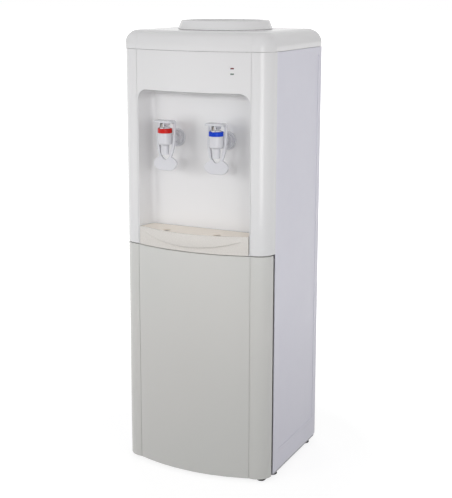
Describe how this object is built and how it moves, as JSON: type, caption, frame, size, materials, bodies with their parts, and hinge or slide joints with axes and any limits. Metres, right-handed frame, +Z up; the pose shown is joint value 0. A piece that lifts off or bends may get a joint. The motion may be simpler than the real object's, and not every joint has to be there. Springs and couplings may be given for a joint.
{
  "type": "floor-standing water dispenser",
  "caption": "Tall white top-loading hot and cold water dispenser with push-back taps in an alcove, a drip tray and a storage cabinet with a bowed door.",
  "frame": {"origin": "on the floor at the middle of the footprint", "axes": "+Z up, -Y to the front where the taps are, +X to the viewer's right when facing the front"},
  "size_m": [0.3124, 0.299, 0.874],
  "materials": {
    "panel_white": "satin white ABS",
    "door_white": "satin cool-white ABS",
    "liner_white": "matt white sheet plastic",
    "side_steel": "powder-coated white steel",
    "rear_steel": "grey coated steel sheet",
    "base_grey": "textured dark plastic",
    "foot_rubber": "matt black rubber",
    "hinge_black": "black coated steel",
    "magnet_dark": "dark coated magnet block",
    "pin_steel": "plain turned steel",
    "tap_white": "glossy white plastic",
    "ring_red": "glossy red plastic",
    "ring_blue": "glossy blue plastic",
    "silicone": "soft milky silicone",
    "tank_steel": "drawn stainless steel",
    "foam_white": "white bead foam",
    "sink_aluminium": "extruded aluminium",
    "module_white": "matt ceramic plates",
    "fitting_black": "matt black plastic",
    "rocker_red": "glossy red plastic",
    "rocker_green": "glossy green plastic",
    "board_green": "lacquered circuit board",
    "lens_red": "dark red lens",
    "lens_green": "grey-green lens",
    "tray_white": "satin off-white ABS",
    "deck_cream": "satin cream ABS",
    "probe_white": "food-grade white plastic"
  },
  "bodies": {
    "cabinet": {"front_panel": "panel_white", "top_cover": "panel_white", "cabinet_liner": "liner_white", "left_side_panel": "side_steel", "right_side_panel": "side_steel", "rear_panel": "rear_steel", "partition": "rear_steel", "base_pan": "base_grey", "feet": "foot_rubber", "hinge_bracket": "hinge_black", "catch_magnet": "magnet_dark", "fulcrum_posts": "pin_steel", "pivot_pins": "pin_steel", "hinge_pin": "pin_steel", "rear_panel_screws": "pin_steel", "hot_spring": "pin_steel", "cold_spring": "pin_steel", "hot_tap_body": "tap_white", "cold_tap_body": "tap_white", "hot_bonnet": "tap_white", "cold_bonnet": "tap_white", "wall_nuts": "tap_white", "hot_cap_ring": "ring_red", "cold_cap_ring": "ring_blue", "cold_outlet_tube": "silicone", "hot_outlet_tube": "silicone", "hot_feed_tube": "silicone", "cold_tank": "tank_steel", "hot_tank": "tank_steel", "drain_pipe": "tank_steel", "heater_band": "tank_steel", "cold_foam": "foam_white", "hot_jacket": "foam_white", "cold_block": "sink_aluminium", "heat_sink": "sink_aluminium", "cooling_module": "module_white", "fan_frame": "fitting_black", "switch_frame": "fitting_black", "cord_gland": "fitting_black", "thermostats": "fitting_black", "power_board": "board_green", "light_board": "board_green", "heat_light": "lens_red", "cool_light": "lens_green"},
    "bottle_seat": {"bottle_seat": "panel_white", "bottle_probe": "probe_white"},
    "drip_tray": {"drip_tray": "tray_white"},
    "tray_deck": {"tray_deck": "deck_cream"},
    "door": {"door_shell": "door_white", "door_liner": "liner_white"},
    "hot_lever": {"hot_lever": "tap_white"},
    "hot_stem": {"hot_stem": "tap_white", "hot_seal": "silicone"},
    "cold_lever": {"cold_lever": "tap_white"},
    "cold_stem": {"cold_stem": "tap_white", "cold_seal": "silicone"},
    "fan": {"fan_rotor": "fitting_black"},
    "heat_rocker": {"heat_rocker": "rocker_red"},
    "cool_rocker": {"cool_rocker": "rocker_green"},
    "drain_cap": {"drain_cap": "fitting_black"}
  },
  "joints": [
    {"name": "door_hinge", "type": "hinge", "parent": "cabinet", "child": "door", "pos_m": [0.138, -0.1055, 0.2265], "axis": [0, 0, 1], "range_deg": [0, 105]},
    {"name": "drip_tray_slide", "type": "slide", "parent": "cabinet", "child": "drip_tray", "axis": [0, -1, 0], "range_m": [0, 0.07]},
    {"name": "tray_deck_lift", "type": "slide", "parent": "drip_tray", "child": "tray_deck", "axis": [0, 0, 1], "range_m": [0, 0.08]},
    {"name": "bottle_seat_lift", "type": "slide", "parent": "cabinet", "child": "bottle_seat", "axis": [0, 0, 1], "range_m": [0, 0.12]},
    {"name": "fan_spin", "type": "hinge", "parent": "cabinet", "child": "fan", "pos_m": [0, 0.125, 0.745], "axis": [0, 1, 0], "continuous": true},
    {"name": "drain_cap_pull", "type": "slide", "parent": "cabinet", "child": "drain_cap", "axis": [0, 1, 0], "range_m": [0, 0.03]},
    {"name": "hot_lever_push", "type": "hinge", "parent": "cabinet", "child": "hot_lever", "pos_m": [-0.0533, -0.1411, 0.6845], "axis": [1, 0, 0], "range_deg": [0, 16], "stiffness_Nm_per_rad": 0.5, "springref_deg": -5.73},
    {"name": "hot_stem_lift", "type": "slide", "parent": "cabinet", "child": "hot_stem", "axis": [0, 0, 1], "range_m": [0, 0.003], "deforming": ["hot_spring"]},
    {"name": "cold_lever_push", "type": "hinge", "parent": "cabinet", "child": "cold_lever", "pos_m": [0.0533, -0.1411, 0.6845], "axis": [1, 0, 0], "range_deg": [0, 16], "stiffness_Nm_per_rad": 0.5, "springref_deg": -5.73},
    {"name": "cold_stem_lift", "type": "slide", "parent": "cabinet", "child": "cold_stem", "axis": [0, 0, 1], "range_m": [0, 0.003], "deforming": ["cold_spring"]},
    {"name": "heat_rocker_press", "type": "hinge", "parent": "cabinet", "child": "heat_rocker", "pos_m": [-0.1032, 0.127, 0.48], "axis": [1, 0, 0], "range_deg": [0, 16]},
    {"name": "cool_rocker_press", "type": "hinge", "parent": "cabinet", "child": "cool_rocker", "pos_m": [-0.0868, 0.127, 0.48], "axis": [1, 0, 0], "range_deg": [0, 16]}
  ],
  "couplings": [
    {"joint": "hot_stem_lift", "follows": "hot_lever_push", "m_per_rad": 0.0105},
    {"joint": "cold_stem_lift", "follows": "cold_lever_push", "m_per_rad": 0.0105}
  ]
}
